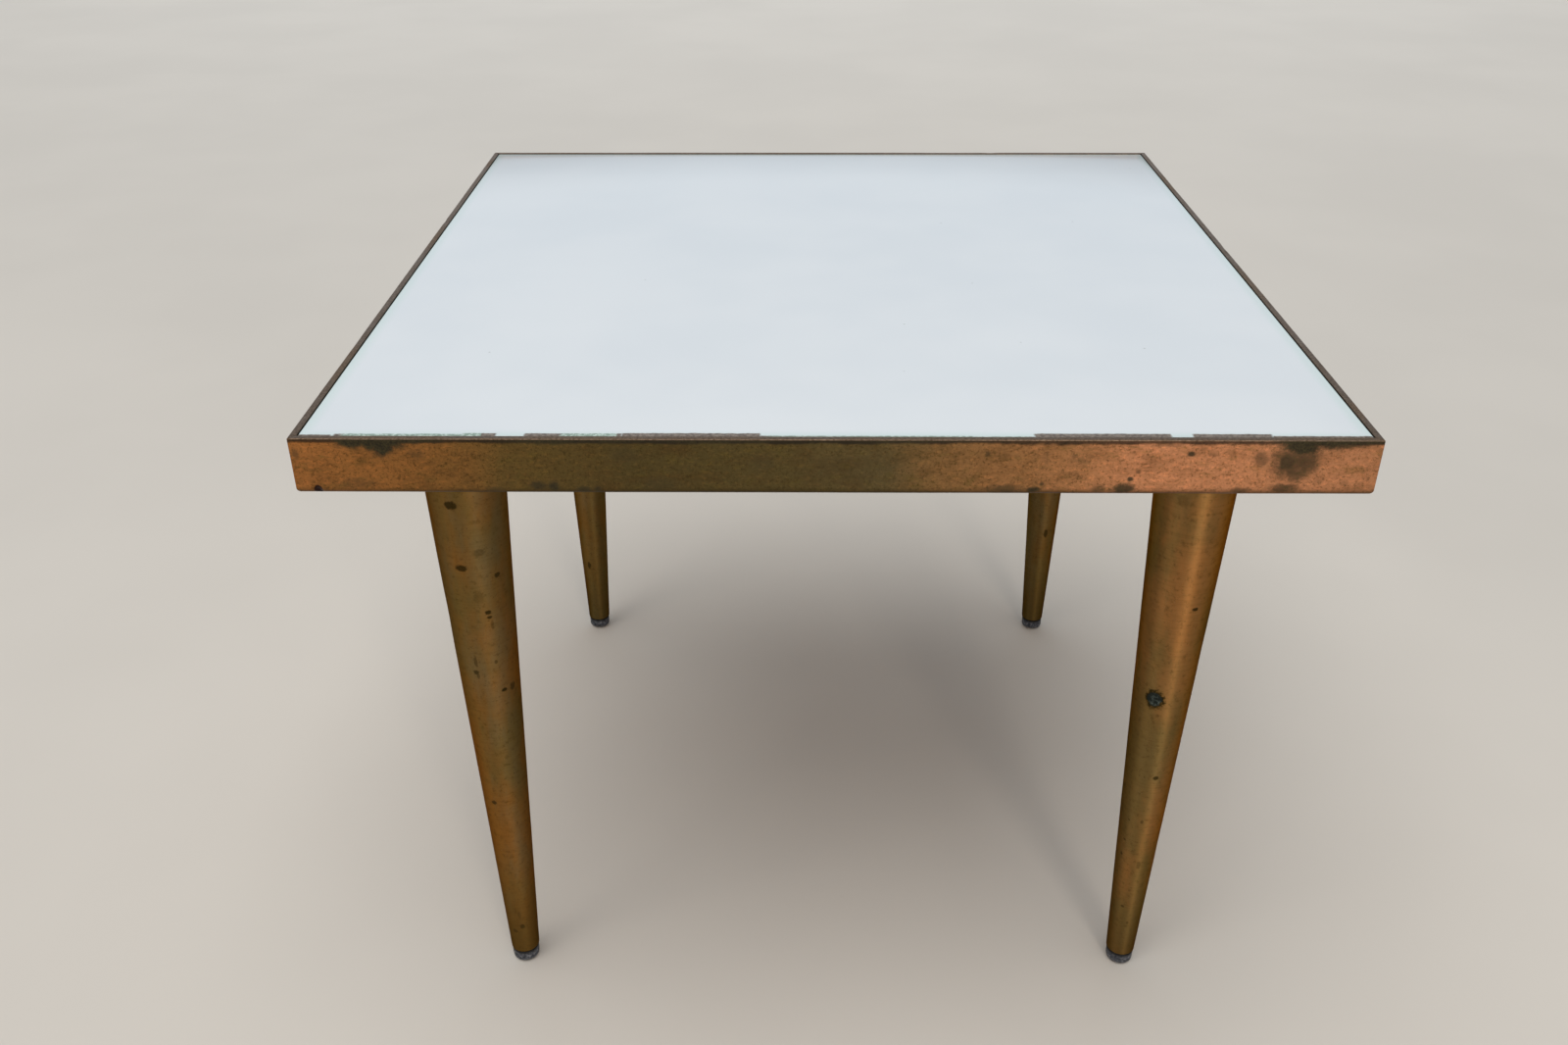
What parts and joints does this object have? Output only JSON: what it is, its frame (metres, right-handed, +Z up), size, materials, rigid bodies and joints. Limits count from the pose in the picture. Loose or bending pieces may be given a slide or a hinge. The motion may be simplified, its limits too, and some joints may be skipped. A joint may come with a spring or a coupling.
{
  "type": "side table",
  "caption": "Low square side table with a white glass top let into a mitred brass band, on straight-tapered brass legs that screw off.",
  "frame": {"origin": "on the floor, under the middle of the top", "axes": "+Z up; X along the width and Y along the depth, with -Y the side that faces the viewer"},
  "size_m": [0.457, 0.457, 0.36],
  "materials": {
    "white_glass": "polished white glass",
    "felt": "pressed wool felt",
    "plywood": "sanded plywood, oiled with age",
    "band_brass": "tarnished, satin",
    "leg_brass": "tarnished, drawn and brushed round",
    "screw_brass": "turned",
    "plate_steel": "zinc plated, dulled",
    "bolt_steel": "bright steel, oiled",
    "leg_wood": "turned beech",
    "glide_steel": "worn dark steel"
  },
  "bodies": {
    "top": {"glass_top": "white_glass", "felt_bed": "felt", "core_board": "plywood", "band_front": "band_brass", "band_rear": "band_brass", "band_left": "band_brass", "band_right": "band_brass", "band_screws": "screw_brass", "plate_screws": "plate_steel", "leg_plate_front_left": "plate_steel", "leg_plate_front_right": "plate_steel", "leg_plate_rear_left": "plate_steel", "leg_plate_rear_right": "plate_steel"},
    "washer_front_left": {"lock_washer_front_left": "bolt_steel"},
    "leg_front_left": {"hanger_bolt_front_left": "bolt_steel", "leg_core_front_left": "leg_wood", "leg_sleeve_front_left": "leg_brass", "glide_front_left": "glide_steel"},
    "washer_front_right": {"lock_washer_front_right": "bolt_steel"},
    "leg_front_right": {"hanger_bolt_front_right": "bolt_steel", "leg_core_front_right": "leg_wood", "leg_sleeve_front_right": "leg_brass", "glide_front_right": "glide_steel"},
    "washer_rear_left": {"lock_washer_rear_left": "bolt_steel"},
    "leg_rear_left": {"hanger_bolt_rear_left": "bolt_steel", "leg_core_rear_left": "leg_wood", "leg_sleeve_rear_left": "leg_brass", "glide_rear_left": "glide_steel"},
    "washer_rear_right": {"lock_washer_rear_right": "bolt_steel"},
    "leg_rear_right": {"hanger_bolt_rear_right": "bolt_steel", "leg_core_rear_right": "leg_wood", "leg_sleeve_rear_right": "leg_brass", "glide_rear_right": "glide_steel"}
  },
  "joints": [
    {"name": "leg_front_left_drop", "type": "slide", "parent": "top", "child": "washer_front_left", "axis": [0, 0, -1], "range_m": [0, 0.01129]},
    {"name": "leg_front_left_unscrew", "type": "hinge", "parent": "washer_front_left", "child": "leg_front_left", "pos_m": [-0.1715, -0.1715, 0.334], "axis": [0, 0, -1], "range_deg": [0, 2880]},
    {"name": "leg_front_right_drop", "type": "slide", "parent": "top", "child": "washer_front_right", "axis": [0, 0, -1], "range_m": [0, 0.01129]},
    {"name": "leg_front_right_unscrew", "type": "hinge", "parent": "washer_front_right", "child": "leg_front_right", "pos_m": [0.1715, -0.1715, 0.334], "axis": [0, 0, -1], "range_deg": [0, 2880]},
    {"name": "leg_rear_left_drop", "type": "slide", "parent": "top", "child": "washer_rear_left", "axis": [0, 0, -1], "range_m": [0, 0.01129]},
    {"name": "leg_rear_left_unscrew", "type": "hinge", "parent": "washer_rear_left", "child": "leg_rear_left", "pos_m": [-0.1715, 0.1715, 0.334], "axis": [0, 0, -1], "range_deg": [0, 2880]},
    {"name": "leg_rear_right_drop", "type": "slide", "parent": "top", "child": "washer_rear_right", "axis": [0, 0, -1], "range_m": [0, 0.01129]},
    {"name": "leg_rear_right_unscrew", "type": "hinge", "parent": "washer_rear_right", "child": "leg_rear_right", "pos_m": [0.1715, 0.1715, 0.334], "axis": [0, 0, -1], "range_deg": [0, 2880]}
  ],
  "couplings": [
    {"joint": "leg_front_left_drop", "follows": "leg_front_left_unscrew", "m_per_rad": 0.00022457},
    {"joint": "leg_front_right_drop", "follows": "leg_front_right_unscrew", "m_per_rad": 0.00022457},
    {"joint": "leg_rear_left_drop", "follows": "leg_rear_left_unscrew", "m_per_rad": 0.00022457},
    {"joint": "leg_rear_right_drop", "follows": "leg_rear_right_unscrew", "m_per_rad": 0.00022457}
  ]
}
